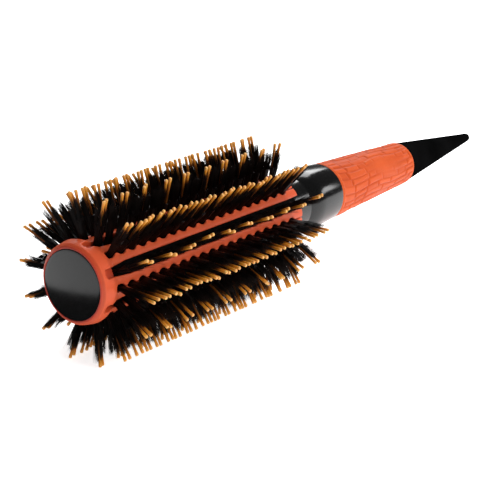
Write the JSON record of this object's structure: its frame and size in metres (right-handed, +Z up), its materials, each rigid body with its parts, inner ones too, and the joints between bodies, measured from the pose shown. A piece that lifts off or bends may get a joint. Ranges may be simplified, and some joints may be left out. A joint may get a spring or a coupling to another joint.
{
  "type": "round barrel brush",
  "caption": "Round salon brush with a ribbed barrel, mixed boar tufts and nylon pins, a soft tapered grip and a pointed sectioning tail.",
  "frame": {"origin": "on the surface that the brush lies on, under the middle of its length", "axes": "+X from the nose of the barrel to the tip of the tail, along the brush; +Z up, midway between two neighbouring bristle rows; +Y to the left when looking along +X"},
  "size_m": [0.2442, 0.0546, 0.0537],
  "materials": {
    "barrel_orange": "glossy moulded plastic",
    "gloss_black": "polished black plastic",
    "core_black": "matte moulded plastic",
    "satin_black": "satin black plastic",
    "grip_orange": "soft-touch rubber with a scale relief",
    "boar_hair": "natural boar bristle, near black",
    "nylon_amber": "amber nylon filament with lighter ends",
    "anchor_wire": "drawn wire",
    "screw_steel": "zinc-plated steel"
  },
  "bodies": {
    "root": {"barrel_cage": "barrel_orange", "nose_cap": "gloss_black", "barrel_core": "core_black", "tuft_anchors": "anchor_wire", "core_tie_screw": "screw_steel", "screw_washer": "screw_steel", "neck_ferrule": "gloss_black", "bell_collar": "gloss_black", "handle_core": "core_black", "grip_sleeve": "grip_orange", "tail_spike": "satin_black", "boar_tufts_01": "boar_hair", "boar_tufts_02": "boar_hair", "boar_tufts_03": "boar_hair", "boar_tufts_04": "boar_hair", "boar_tufts_05": "boar_hair", "boar_tufts_06": "boar_hair", "boar_tufts_07": "boar_hair", "boar_tufts_08": "boar_hair", "boar_tufts_09": "boar_hair", "boar_tufts_10": "boar_hair", "boar_tufts_11": "boar_hair", "boar_tufts_12": "boar_hair", "boar_tufts_13": "boar_hair", "boar_tufts_14": "boar_hair", "nylon_pins_01": "nylon_amber", "nylon_pins_02": "nylon_amber", "nylon_pins_03": "nylon_amber", "nylon_pins_04": "nylon_amber", "nylon_pins_05": "nylon_amber", "nylon_pins_06": "nylon_amber", "nylon_pins_07": "nylon_amber", "nylon_pins_08": "nylon_amber", "nylon_pins_09": "nylon_amber", "nylon_pins_10": "nylon_amber", "nylon_pins_11": "nylon_amber", "nylon_pins_12": "nylon_amber", "nylon_pins_13": "nylon_amber", "nylon_pins_14": "nylon_amber"}
  },
  "joints": []
}
